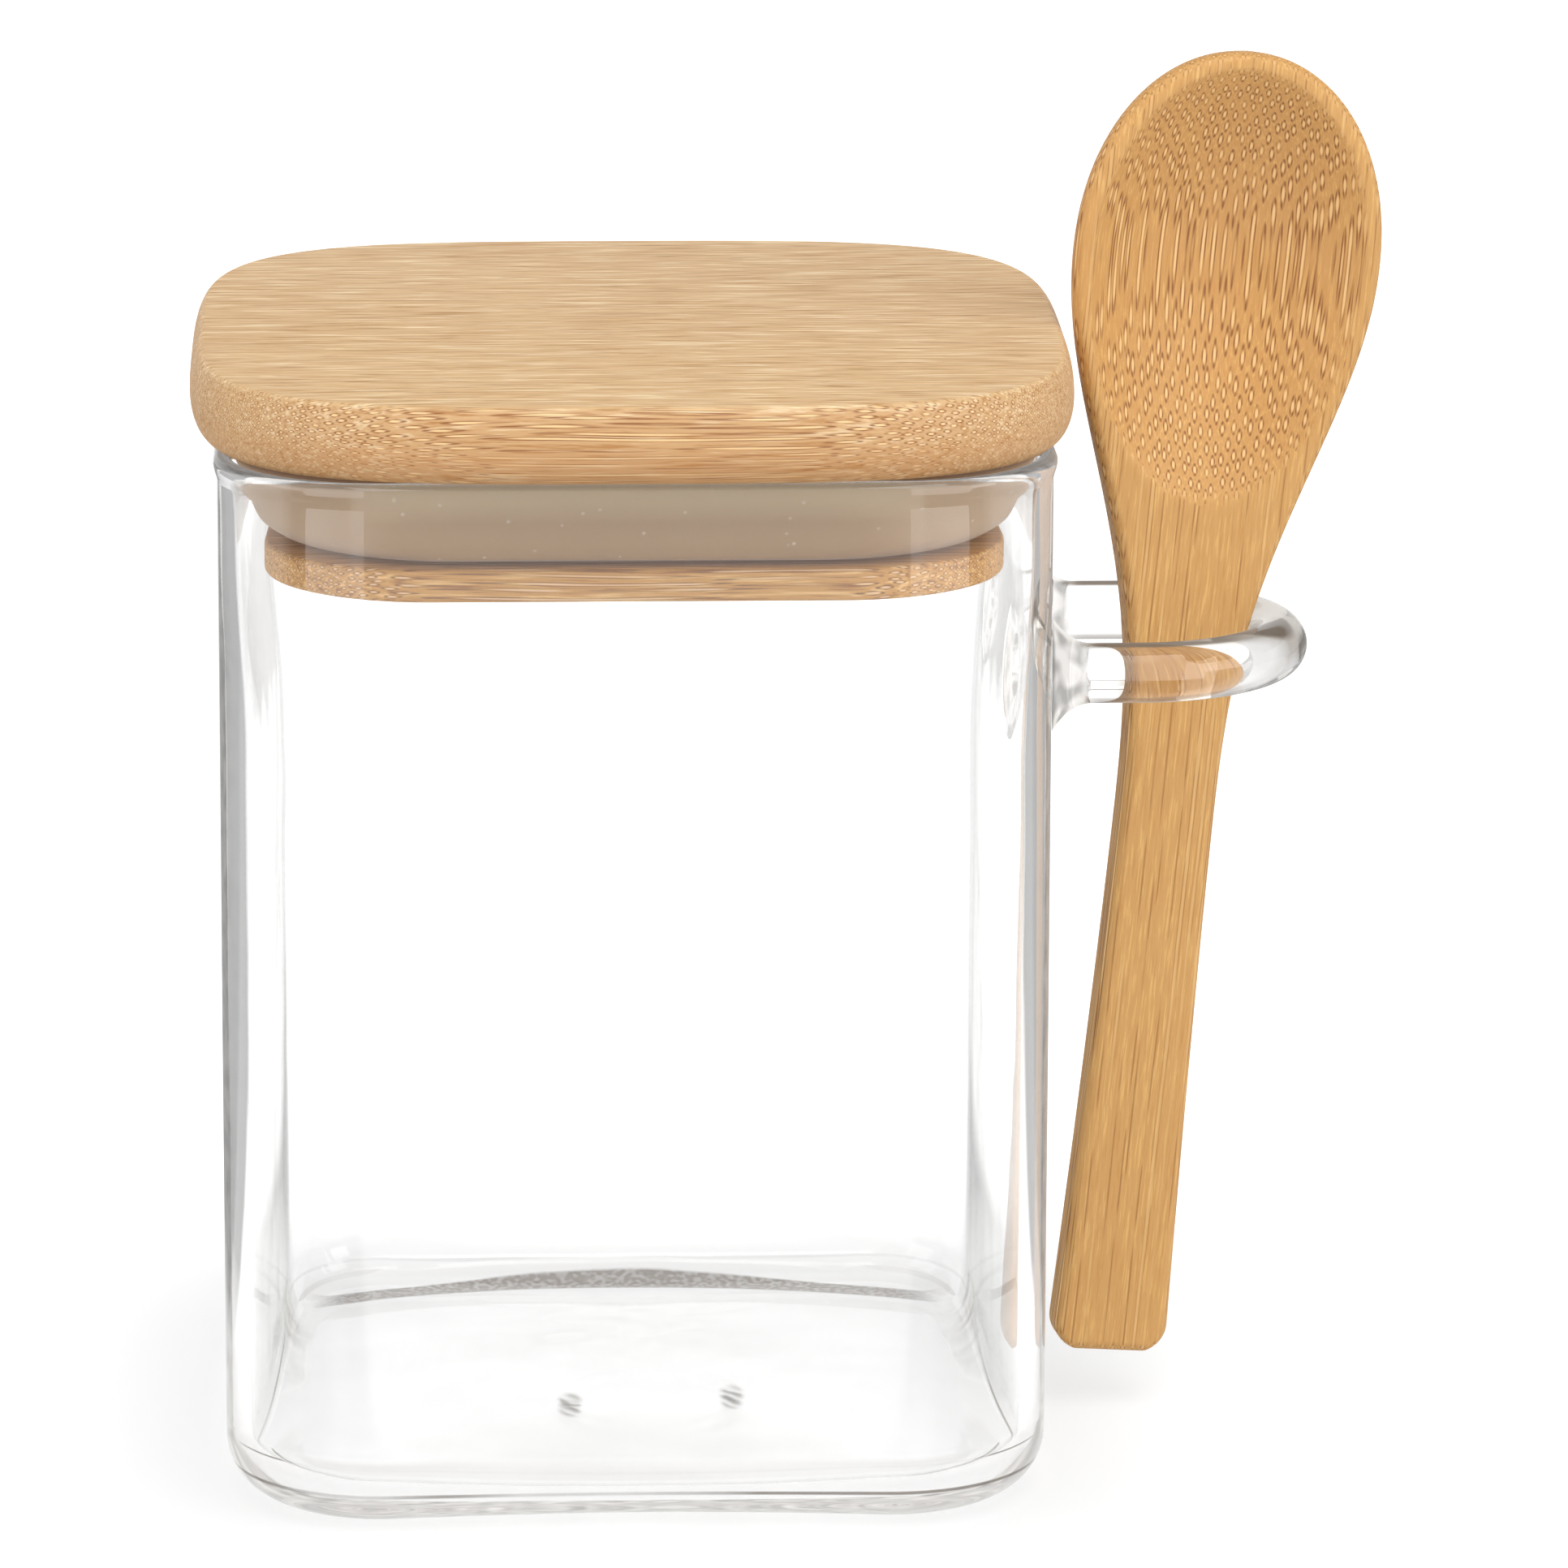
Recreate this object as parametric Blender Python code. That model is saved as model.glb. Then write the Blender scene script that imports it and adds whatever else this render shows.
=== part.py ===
"""Square glass storage jar with a bamboo lid, a silicone seal and a bamboo spoon.

The origin is the middle of the jar's underside and +Z is up. The glass loop and the spoon that
hangs in it are on the +X side, and the spoon's scoop faces -Y. All sizes are in metres.
"""

import math

import bmesh
import bpy
from mathutils import Vector

# Clearance between pieces that touch, are glued or are welded
touch_gap = 0.0003

# Glass jar: blown square, with a fire-polished rim and a rounded heel
jar_width = 0.0939
jar_height = 0.1216
jar_corner_radius = 0.018
wall_thickness = 0.0019
base_thickness = 0.0032
heel_radius = 0.0070
heel_side_growth = 0.0020  # how much larger the heel radius is at the middle of a side
inner_heel_radius = 0.0055
rim_flare = 0.0004
rim_flare_height = 0.0020

# Glass loop: a bent rod whose two ends are welded to the wall
rod_diameter = 0.0069
loop_half_width = 0.0160  # from the middle to either leg's centre line
loop_bend_length = 0.0172  # along X; equal to the half width would make a round bend
loop_drop = 0.0291  # below the jar's rim
weld_diameter = 0.0160
weld_length = 0.0056

# Lid board: bamboo, a soft square
lid_overhang = 0.0033
lid_thickness = 0.0087
lid_plan_power = 3.67  # exponent of the superellipse that the board is cut to
lid_widest_height = 0.0035  # above the board's underside
lid_top_inset = 0.0017  # the edge is a bulge: it lies this much further in at the top
lid_bottom_inset = 0.0017

# Lid plug: bamboo, glued under the board, with a groove for the seal
plug_depth = 0.01475
plug_wall_gap = 0.0030  # between the flange and the jar's inner wall
plug_flange_thickness = 0.00375
plug_corner_radius = 0.019
plug_neck_setback = 0.0065
plug_edge_round = 0.0005

# Seal: a silicone ring in the plug's groove, which flares out to the glass
seal_overhang = 0.0033  # how far the lip stands out past the foot
seal_foot_corner_radius = 0.0215
seal_wall_gap = 0.0003

# Spoon: bamboo, carved from one strip
bowl_width = 0.0360
bowl_tip_length = 0.0240  # from the tip to the widest place
bowl_tip_power = 2.1  # 2 would make the tip half an ellipse
bowl_neck_length = 0.0660  # from the widest place to the narrowest
neck_ease_power = 1.35  # above 1, the bowl narrows sooner
handle_neck_width = 0.0112
handle_end_width = 0.0137
handle_growth_power = 1.5
handle_thickness = 0.0055
handle_end_round = 0.0035
spoon_edge_round = 0.0013
scoop_depth = 0.0072
scoop_rim = 0.0017
scoop_length = 0.0508
bowl_edge_thickness = 0.0033
bowl_wall = 0.0028
keel_length = 0.0640  # from the tip to where the bowl's back has run into the handle
spoon_rise = 0.0695  # from the loop up to the spoon's tip
spoon_foot_clearance = 0.0071  # between the table and the handle's end
spoon_lid_gap = 0.00035  # between the bowl's widest place and the way the lid lifts
spoon_loop_gap = 0.0007  # between the handle and the bend, along the middle
spoon_lean = math.radians(5.34)
spoon_turn = math.radians(8.0)

# Fineness of the curves, and the fold that is shaded as an edge
sharp_angle = math.radians(40)
corner_steps = 6
side_steps = 6
arc_steps = 4
lid_edge_steps = 6
plan_steps = 64
rod_sides = 12
weld_steps = 6
bend_steps = 14
tip_steps = 9
tip_first_angle = 0.1
slope_step_share = 0.1
neck_steps = 15
handle_steps = 6
front_steps = 16
back_steps = 10

# Places that follow from the sizes above
jar_half = jar_width / 2
mouth_half = jar_half - wall_thickness
mouth_corner = jar_corner_radius - wall_thickness
lid_seat = jar_height + touch_gap
lid_half = jar_half + lid_overhang
flange_half = mouth_half - plug_wall_gap
flange_bottom = lid_seat - plug_depth
flange_top = flange_bottom + plug_flange_thickness
neck_half = flange_half - plug_neck_setback
neck_corner = plug_corner_radius - plug_neck_setback
loop_height = jar_height - loop_drop
rod_radius = rod_diameter / 2
bowl_half = bowl_width / 2
neck_station = bowl_tip_length + bowl_neck_length
spoon_x = (
    lid_half
    + spoon_lid_gap
    + bowl_half * math.cos(spoon_turn) * math.cos(spoon_lean)
    - (spoon_rise - bowl_tip_length) * math.sin(spoon_lean)
)
handle_hang = (loop_height - spoon_foot_clearance) / math.cos(spoon_lean)
spoon_length = spoon_rise + handle_hang


def clear_scene():
    for thing in list(bpy.data.objects):
        bpy.data.objects.remove(thing, do_unlink=True)


def material(name, colour, roughness, transmission=0.0, ior=1.5):
    """A Principled material in the piece's own colour (linear red, green, blue)."""
    made = bpy.data.materials.new(name)
    made.use_nodes = True
    shader = made.node_tree.nodes["Principled BSDF"]
    shader.inputs["Base Color"].default_value = (*colour, 1.0)
    shader.inputs["Roughness"].default_value = roughness
    shader.inputs["Metallic"].default_value = 0.0
    shader.inputs["Transmission Weight"].default_value = transmission
    shader.inputs["IOR"].default_value = ior
    made.diffuse_color = (*colour, 1.0)
    return made


def rounded_square(half, corner):
    """Points round a square with rounded corners, each with its outward normal and its side share.

    The side share is 0 on the corners and rises to 1 at the middle of a side.
    """
    straight = half - corner
    points = []
    for quarter in range(4):
        start = quarter * math.pi / 2
        centre = Vector((straight, straight)) if quarter % 2 == 0 else Vector((-straight, straight))
        if quarter > 1:
            centre = -centre
        for step in range(corner_steps + 1):
            angle = start + math.pi / 2 * step / corner_steps
            normal = Vector((math.cos(angle), math.sin(angle)))
            points.append((centre + corner * normal, normal, 0.0))
        along = Vector((-normal.y, normal.x))
        for step in range(1, side_steps):
            share = step / side_steps
            place = centre + corner * normal + along * (2 * straight * share)
            points.append((place, normal, math.sin(math.pi * share)))
    return points


def soft_square(half, power):
    """Points round a superellipse, in the form that rounded_square gives."""
    points = []
    for step in range(plan_steps):
        angle = 2 * math.pi * step / plan_steps
        across, along = math.cos(angle), math.sin(angle)
        reach = half * (abs(across) ** power + abs(along) ** power) ** (-1 / power)
        normal = Vector(
            (
                math.copysign(abs(across) ** (power - 1), across),
                math.copysign(abs(along) ** (power - 1), along),
            )
        ).normalized()
        points.append((Vector((across, along)) * reach, normal, 0.0))
    return points


def ring(plan, inset, height):
    """One level of a loft: the plan drawn in by an inset, which may be a function of the side share."""
    level = []
    for place, normal, side_share in plan:
        drawn = place - normal * (inset(side_share) if callable(inset) else inset)
        lifted = height(side_share) if callable(height) else height
        level.append(Vector((drawn.x, drawn.y, lifted)))
    return level


def arc(steps, start=0.0, end=math.pi / 2):
    """Angles from start to end."""
    return [start + (end - start) * step / steps for step in range(steps + 1)]


def lofted(name, rings, finish, closed=False):
    """An object whose skin joins the rings in order, capped at both ends or closed on itself."""
    mesh = bmesh.new()
    levels = [[mesh.verts.new(point) for point in level] for level in rings]
    pairs = list(zip(levels, levels[1:]))
    if closed:
        pairs.append((levels[-1], levels[0]))
    else:
        mesh.faces.new(list(reversed(levels[0])))
        mesh.faces.new(levels[-1])
    for lower, upper in pairs:
        for index in range(len(lower)):
            after = (index + 1) % len(lower)
            mesh.faces.new((lower[index], lower[after], upper[after], upper[index]))
    bmesh.ops.recalc_face_normals(mesh, faces=mesh.faces)
    data = bpy.data.meshes.new(name)
    mesh.to_mesh(data)
    mesh.free()
    data.materials.append(finish)
    data.shade_smooth()
    data.set_sharp_from_angle(angle=sharp_angle)
    made = bpy.data.objects.new(name, data)
    bpy.context.scene.collection.objects.link(made)
    return made


def frame_empty(name, location):
    """The parent of the pieces that move together."""
    empty = bpy.data.objects.new(name, None)
    empty.location = location
    bpy.context.scene.collection.objects.link(empty)
    return empty


def make_jar(finish):
    """The jar's skin, from the underside up the outside, over the rim and down to the inner floor."""
    plan = rounded_square(jar_half, jar_corner_radius)

    def heel_at(side_share):
        return heel_radius + heel_side_growth * side_share

    rings = []
    for angle in arc(arc_steps):
        rings.append(
            ring(
                plan,
                lambda share, turn=angle: heel_at(share) * (1 - math.sin(turn)),
                lambda share, turn=angle: heel_at(share) * (1 - math.cos(turn)),
            )
        )
    bead_radius = (wall_thickness + rim_flare) / 2
    bead_inset = (wall_thickness - rim_flare) / 2
    bead_height = jar_height - bead_radius
    rings.append(ring(plan, 0.0, bead_height - rim_flare_height))
    rings.append(ring(plan, -rim_flare / 2, bead_height - rim_flare_height / 2))
    for angle in arc(2 * arc_steps, 0.0, math.pi):
        inset = bead_inset - bead_radius * math.cos(angle)
        rings.append(ring(plan, inset, bead_height + bead_radius * math.sin(angle)))
    for angle in arc(arc_steps):
        inset = wall_thickness + inner_heel_radius * (1 - math.cos(angle))
        rise = inner_heel_radius * (1 - math.sin(angle))
        rings.append(ring(plan, inset, base_thickness + rise))
    return lofted("jar_body", rings, finish)


def loop_path():
    """The rod's centre line: points, directions and the distance to the nearer weld face."""
    weld_x = jar_half + touch_gap
    neck_edge = spoon_x + spoon_half_width(spoon_rise) * math.cos(spoon_lean)
    bend_x = neck_edge + spoon_loop_gap + rod_radius - loop_bend_length
    stops = [weld_length * step / weld_steps for step in range(weld_steps + 1)]
    leg = [(weld_x + stop, stop) for stop in stops] + [(bend_x, bend_x - weld_x)]
    path = []
    for x, distance in leg:
        path.append((Vector((x, -loop_half_width, 0)), Vector((1, 0, 0)), distance))
    for angle in arc(bend_steps, -math.pi / 2, math.pi / 2)[1:-1]:
        place = Vector((bend_x + loop_bend_length * math.cos(angle), loop_half_width * math.sin(angle), 0))
        along = Vector((-loop_bend_length * math.sin(angle), loop_half_width * math.cos(angle), 0))
        path.append((place, along.normalized(), weld_length))
    for x, distance in reversed(leg):
        path.append((Vector((x, loop_half_width, 0)), Vector((-1, 0, 0)), distance))
    return path


def make_loop(finish):
    """A round rod along the loop's path, swelling to its welds."""
    rings = []
    for place, direction, distance in loop_path():
        swell = (1 + math.cos(math.pi * min(1.0, distance / weld_length))) / 2
        radius = rod_radius + (weld_diameter / 2 - rod_radius) * swell
        sideways = Vector((direction.y, -direction.x, 0))
        level = []
        for side in range(rod_sides):
            angle = 2 * math.pi * side / rod_sides
            out = sideways * math.cos(angle) + Vector((0, 0, 1)) * math.sin(angle)
            level.append(place + out * radius + Vector((0, 0, loop_height)))
        rings.append(level)
    return lofted("spoon_loop", rings, finish)


def make_lid_board(finish):
    """The board, whose edge bulges out to its widest place below the middle."""
    plan = soft_square(lid_half, lid_plan_power)
    rings = []
    for angle in arc(lid_edge_steps):
        inset = lid_bottom_inset * (1 - math.sin(angle))
        rings.append(ring(plan, inset, lid_widest_height * (1 - math.cos(angle))))
    above = lid_thickness - lid_widest_height
    for angle in arc(lid_edge_steps)[1:]:
        inset = lid_top_inset * (1 - math.cos(angle))
        rings.append(ring(plan, inset, lid_widest_height + above * math.sin(angle)))
    return lofted("lid_board", rings, finish)


def make_lid_plug(finish):
    """The flange below and the neck that the seal sits round, up to the glue face."""
    plan = rounded_square(flange_half, plug_corner_radius)
    low = flange_bottom - lid_seat
    high = flange_top - lid_seat
    rings = [
        ring(plan, plug_edge_round, low),
        ring(plan, 0.0, low + plug_edge_round),
        ring(plan, 0.0, high - plug_edge_round),
        ring(plan, plug_edge_round, high),
        ring(plan, plug_neck_setback, high),
        ring(plan, plug_neck_setback, -touch_gap),
    ]
    return lofted("lid_plug", rings, finish)


def make_seal(finish):
    """The ring round the plug's neck: a flat foot, a flared outer face and a lip at the glass."""
    low = flange_top + touch_gap - lid_seat
    high = -touch_gap
    lip_half = mouth_half - seal_wall_gap
    lip = rounded_square(lip_half, mouth_corner - seal_wall_gap)
    foot = rounded_square(lip_half - seal_overhang, seal_foot_corner_radius)
    neck = rounded_square(neck_half + touch_gap, neck_corner + touch_gap)
    # Height shares up the outer face, and how far in from the lip it lies as shares of the overhang
    face_shares = [
        (0.0, 1.85),
        (0.02, 1.50),
        (0.05, 1.20),
        (0.09, 1.0),
        (0.19, 0.74),
        (0.30, 0.59),
        (0.48, 0.44),
        (0.68, 0.26),
        (0.85, 0.10),
        (0.93, 0.0),
        (0.97, 0.03),
        (1.0, 0.2),
    ]
    rings = [ring(neck, 0.0, low)]
    for height_share, inset_share in face_shares:
        height = low + (high - low) * height_share
        level = []
        for at_lip, at_foot in zip(ring(lip, 0.0, height), ring(foot, 0.0, height)):
            level.append(at_lip.lerp(at_foot, min(1.0, inset_share)))
        if inset_share > 1:
            level = ring(foot, seal_overhang * (inset_share - 1), height)
        rings.append(level)
    rings.append(ring(neck, 0.0, high))
    return lofted("seal_ring", rings, finish, closed=True)


def spoon_half_width(station):
    """Half the spoon's width at a distance from its tip."""
    if station <= bowl_tip_length:
        left = 1 - station / bowl_tip_length
        return bowl_half * (1 - left**bowl_tip_power) ** (1 / bowl_tip_power)
    neck_half_width = handle_neck_width / 2
    if station <= neck_station:
        share = (station - bowl_tip_length) / bowl_neck_length
        turn = 1 - (1 - share) ** neck_ease_power
        swell = (1 + math.cos(math.pi * turn)) / 2
        return neck_half_width + (bowl_half - neck_half_width) * swell
    share = (station - neck_station) / (spoon_length - neck_station)
    half = neck_half_width + (handle_end_width / 2 - neck_half_width) * share**handle_growth_power
    from_end = spoon_length - station
    if from_end < handle_end_round:
        missing = handle_end_round - from_end
        half -= handle_end_round - math.sqrt(handle_end_round**2 - missing**2)
    return half


def edge_round_drop(edge_distance):
    """How far a face has curved away at a distance in from the spoon's outline."""
    missing = max(0.0, spoon_edge_round - max(0.0, edge_distance))
    return spoon_edge_round - math.sqrt(spoon_edge_round**2 - missing**2)


def scoop_drop(station, across):
    """Depth of the scoop below the spoon's flat front face."""
    near = bowl_tip_length - scoop_rim
    far = scoop_length - near
    along = (station - bowl_tip_length) / (near if station < bowl_tip_length else far)
    spread = along**2 + (across / (bowl_half - scoop_rim)) ** 2
    return scoop_depth * max(0.0, 1 - spread)


def back_depth(station, across_share):
    """Depth of the spoon's back face behind its flat front face."""
    if station < bowl_tip_length:
        swell = 1 - (1 - station / bowl_tip_length) ** 2
        edge = bowl_edge_thickness
    else:
        turn = min(1.0, (station - bowl_tip_length) / (keel_length - bowl_tip_length))
        swell = (1 + math.cos(math.pi * turn)) / 2
        edge = handle_thickness + (bowl_edge_thickness - handle_thickness) * swell
    keel = scoop_depth + bowl_wall - bowl_edge_thickness
    return edge + keel * swell * (1 - across_share**2)


def spoon_section(station):
    """One cross-section of the spoon, left to right over the front and back over the rear."""
    half = spoon_half_width(station)
    step = spoon_edge_round * slope_step_share
    if station + step < spoon_length - handle_end_round:
        slope = (spoon_half_width(station + step) - half) / step
    else:
        slope = 0.0
    stretch = math.sqrt(1 + slope**2)
    level = []
    for angle in arc(front_steps, -math.pi / 2, math.pi / 2):
        across = half * math.sin(angle)
        edge_distance = min((half - abs(across)) / stretch, spoon_length - station)
        drop = max(edge_round_drop(edge_distance), scoop_drop(station, across))
        level.append(Vector((across, drop - handle_thickness / 2, spoon_rise - station)))
    for angle in arc(back_steps, math.pi / 2, -math.pi / 2):
        across = half * math.sin(angle)
        edge_distance = min((half - abs(across)) / stretch, spoon_length - station)
        depth = back_depth(station, math.sin(angle)) - edge_round_drop(edge_distance)
        level.append(Vector((across, depth - handle_thickness / 2, spoon_rise - station)))
    return level


def make_spoon(finish):
    """The spoon, hung in the loop with its bowl leaning by the lid's edge."""
    stations = [bowl_tip_length * (1 - math.cos(angle)) for angle in arc(tip_steps, tip_first_angle)]
    for step in range(1, neck_steps + 1):
        stations.append(bowl_tip_length + bowl_neck_length * step / neck_steps)
    straight_end = spoon_length - handle_end_round
    for step in range(1, handle_steps + 1):
        stations.append(neck_station + (straight_end - neck_station) * step / handle_steps)
    for angle in arc(arc_steps)[1:]:
        stations.append(straight_end + handle_end_round * math.sin(angle))
    made = lofted("spoon", [spoon_section(station) for station in stations], finish)
    made.rotation_mode = "ZYX"
    made.rotation_euler = (0.0, spoon_lean, spoon_turn)
    made.location = (spoon_x, 0.0, loop_height)
    return made


clear_scene()

glass = material("borosilicate_glass", (0.90, 0.95, 0.93), 0.02, transmission=1.0, ior=1.47)
rod_glass = material("borosilicate_rod", (0.88, 0.94, 0.92), 0.02, transmission=1.0, ior=1.47)
board_bamboo = material("oiled_bamboo_board", (0.66, 0.46, 0.24), 0.50)
plug_bamboo = material("oiled_bamboo_plug", (0.66, 0.44, 0.22), 0.55)
silicone = material("moulded_silicone", (0.45, 0.33, 0.23), 0.40)
spoon_bamboo = material("carved_bamboo", (0.67, 0.39, 0.14), 0.50)

make_jar(glass)
make_loop(rod_glass)
lid = frame_empty("lid", (0.0, 0.0, lid_seat))
for lid_piece in (make_lid_board(board_bamboo), make_lid_plug(plug_bamboo), make_seal(silicone)):
    lid_piece.parent = lid
make_spoon(spoon_bamboo)
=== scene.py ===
import math

import bmesh
import bpy
from mathutils import Matrix, Vector


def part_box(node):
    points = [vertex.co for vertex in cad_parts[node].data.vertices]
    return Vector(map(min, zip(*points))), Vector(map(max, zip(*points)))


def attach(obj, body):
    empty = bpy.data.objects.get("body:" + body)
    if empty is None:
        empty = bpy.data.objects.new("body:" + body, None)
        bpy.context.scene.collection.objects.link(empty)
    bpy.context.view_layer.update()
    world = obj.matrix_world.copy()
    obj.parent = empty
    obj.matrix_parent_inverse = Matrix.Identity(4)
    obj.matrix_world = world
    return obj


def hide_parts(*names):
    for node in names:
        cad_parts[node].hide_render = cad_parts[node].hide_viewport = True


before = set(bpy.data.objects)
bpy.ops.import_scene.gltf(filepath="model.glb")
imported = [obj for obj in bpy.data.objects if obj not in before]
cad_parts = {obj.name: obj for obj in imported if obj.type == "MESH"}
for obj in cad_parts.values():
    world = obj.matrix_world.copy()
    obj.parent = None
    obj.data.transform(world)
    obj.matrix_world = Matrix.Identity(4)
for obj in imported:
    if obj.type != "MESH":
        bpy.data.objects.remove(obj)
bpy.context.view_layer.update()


# The camera stands 1.1 m in front of the jar, looks down on the lid by 14 degrees and has a long lens.
# Its place, its turn in radians and its lens were fitted to the outlines of the jar, lid and spoon.
camera_place = Vector((-0.026419, -1.0694, 0.34332))
camera_yaw = -0.041117
camera_pitch = 0.24561
camera_roll = 0.0037432

camera_data = bpy.data.cameras.new("studio_camera")
camera_data.sensor_width = 36.0
camera_data.lens = 218.03
camera_data.shift_x = 0.00206
camera_data.shift_y = 0.00332
camera = bpy.data.objects.new("studio_camera", camera_data)
bpy.context.scene.collection.objects.link(camera)
camera_turn = Matrix.Rotation(camera_yaw, 4, "Z")
camera_turn = camera_turn @ Matrix.Rotation(math.pi / 2 - camera_pitch, 4, "X")
camera_turn = camera_turn @ Matrix.Rotation(camera_roll, 4, "Z")
camera.matrix_world = Matrix.Translation(camera_place) @ camera_turn
bpy.context.scene.camera = camera
bpy.context.scene.view_settings.view_transform = "Standard"


# The table is a wide white board, lit and given a glow so that it reads as plain white. Near the jar the
# glow is lowered, painted shade that joins the faint real shadow there; below the glass base a pool of light
# is painted.
# The world is a white studio; what glass mirrors or turns aside is darker, which draws its edges in grey.
def linear(hex_colour):
    """An sRGB hex colour as linear red, green, blue and alpha."""
    parts = [int(hex_colour[place:place + 2], 16) / 255 for place in (1, 3, 5)]
    made = [part / 12.92 if part <= 0.04045 else ((part + 0.055) / 1.055) ** 2.4 for part in parts]
    return (*made, 1.0)


def add_node(tree, kind, inputs=None, stops=(), **settings):
    """Adds a node with its settings; an input is a value, or the output that feeds it.

    A node as input feeds by its first output. The stops of a colour ramp are places and colours.
    """
    made = tree.nodes.new("ShaderNode" + kind)
    for name, value in settings.items():
        setattr(made, name, value)
    for name, value in (inputs or {}).items():
        if isinstance(value, bpy.types.Node):
            value = value.outputs[0]
        if isinstance(value, bpy.types.NodeSocket):
            tree.links.new(value, made.inputs[name])
        else:
            made.inputs[name].default_value = value
    for place, colour in stops[1:-1]:
        made.color_ramp.elements.new(place)
    for index, (place, colour) in enumerate(stops):
        made.color_ramp.elements[index].position = place
        made.color_ramp.elements[index].color = colour
    return made


def greys(stops):
    """The stops of a colour ramp from places and grey levels."""
    return [(place, (level, level, level, 1)) for place, level in stops]


def combined(tree, operation, first, *others):
    """All the values multiplied, or the largest of them, as the operation says."""
    for other in others:
        first = add_node(tree, "Math", {0: first, 1: other}, operation=operation)
    return first


def flat_reach(tree, x, y):
    """A place on the plan, and how far out it lies where rounded squares count as circles."""
    flat = add_node(tree, "CombineXYZ", {"X": x, "Y": y})
    squared = add_node(tree, "VectorMath", {0: flat, 1: flat}, operation="MULTIPLY")
    length = add_node(tree, "VectorMath", {0: squared}, operation="LENGTH")
    reach = add_node(tree, "Math", {0: length.outputs["Value"], 1: 0.5}, operation="POWER")
    return flat, reach


def new_material(name):
    """A node material with an empty tree."""
    made = bpy.data.materials.new(name)
    made.use_nodes = True
    made.node_tree.nodes.clear()
    return made, made.node_tree


def object_from(mesh, name, finish, fold=math.radians(30)):
    """Turns a bmesh into a smooth-shaded object, whose folds past an angle stay sharp."""
    data = bpy.data.meshes.new(name)
    mesh.to_mesh(data)
    mesh.free()
    data.materials.append(finish)
    data.shade_smooth()
    data.set_sharp_from_angle(angle=fold)
    made = bpy.data.objects.new(name, data)
    bpy.context.scene.collection.objects.link(made)
    return made


table_size = 6.0
table_drop = 0.0001
table_seen_diffuse = 0.34
table_seen_glow = 0.645
base_pool_glow = 0.225
base_pool_end = 0.050
base_pool_full = 0.030
plain_white = 1.0
shade_reach = 0.049
plain_from = 0.100
bounced_white = 0.8
mirrored_bright = 1.0
mirrored_table = 0.50
mirrored_dark = 0.36
dark_from = 0.066
dark_full = 0.105
dark_heights = ((0.36, 0), (0.42, 1), (0.82, 1), (0.90, 0))
along_axes = 0.25
on_diagonals = -0.15
white_through_glass = 1.05
studio_on_table = 0.35
studio_light = 0.60
strip_width = 0.20
strip_height = 0.42
strip_away = 0.30
strip_middle = 0.215
strip_turn = math.radians(32)
strip_strength = 3.2
soft_box_aim = (0, 0, 0.08)
soft_boxes = (
    ("softbox_over", (0.2, -0.8, 1.55), 1.2, 13.5),
    ("softbox_front_right", (1.3, -0.8, 0.6), 0.8, 6.0),
    ("softbox_left", (-1.3, -0.5, 0.6), 0.8, 3.8),
)


def mirrored_now(tree):
    """The path of a ray, and 1 if glass or a gloss has thrown it back, else 0."""
    path = add_node(tree, "LightPath")
    thrown = add_node(tree, "Math", {0: path.outputs["Glossy Depth"], 1: 0.5}, operation="GREATER_THAN")
    return path, thrown


def between_axes(tree, x, y):
    """1 on the diagonals of the room, 0 along its axes, by the compass direction of x and y."""
    compass = add_node(tree, "Math", {0: y, 1: x}, operation="ARCTAN2")
    fourfold = combined(tree, "MULTIPLY", compass, 4.0)
    wave = add_node(tree, "Math", {0: fourfold}, operation="COSINE")
    return add_node(
        tree,
        "MapRange",
        {"Value": wave, "From Min": along_axes, "From Max": on_diagonals},
        interpolation_type="SMOOTHSTEP",
    )


table_board, tree = new_material("white_laminate_board")
path, mirrored = mirrored_now(tree)
here = add_node(tree, "NewGeometry").outputs["Position"]
axes = add_node(tree, "SeparateXYZ", {0: here})
away = add_node(tree, "VectorMath", {0: here}, operation="LENGTH")
far = add_node(
    tree, "MapRange", {"Value": away.outputs["Value"], "From Min": dark_from, "From Max": dark_full}
)
diagonal = between_axes(tree, axes.outputs["X"], axes.outputs["Y"])
dark_now = combined(tree, "MULTIPLY", far, diagonal, mirrored)
square_reach = flat_reach(tree, axes.outputs["X"], axes.outputs["Y"])[1]
# Painted shade: the table's glow is lowered near the jar and rises to full white further out.
glow_with_painted_shade = add_node(
    tree,
    "MapRange",
    {
        "Value": square_reach,
        "From Min": shade_reach,
        "From Max": plain_from,
        "To Min": table_seen_glow,
        "To Max": plain_white,
    },
    interpolation_type="SMOOTHSTEP",
)
# A pool of light painted under the glass base, strongest towards its middle and mottled by noise like
# caustics.
painted_light_pool = add_node(
    tree,
    "MapRange",
    {
        "Value": square_reach,
        "From Min": base_pool_end,
        "From Max": base_pool_full,
        "To Max": base_pool_glow,
    },
)
painted_caustic_noise = add_node(tree, "TexNoise", {"Vector": here, "Scale": 75.0, "Detail": 1.0})
painted_caustic_level = add_node(
    tree, "MapRange", {"Value": painted_caustic_noise, "From Min": 0.35, "From Max": 0.60, "To Min": 0.80}
)
pool_light = combined(tree, "MULTIPLY", painted_light_pool, painted_caustic_level)
pooled = add_node(tree, "Math", {0: glow_with_painted_shade, 1: pool_light})
glow_level = add_node(tree, "Mix", {0: dark_now, 2: pooled, 3: mirrored_table})
white_level = add_node(
    tree, "MapRange", {"Value": dark_now, "To Min": table_seen_diffuse, "To Max": 0.0}
)
seen_glow = add_node(tree, "Emission", {"Color": linear("#ffffff"), "Strength": glow_level})
seen_white = add_node(tree, "BsdfDiffuse", {"Color": white_level})
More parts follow.
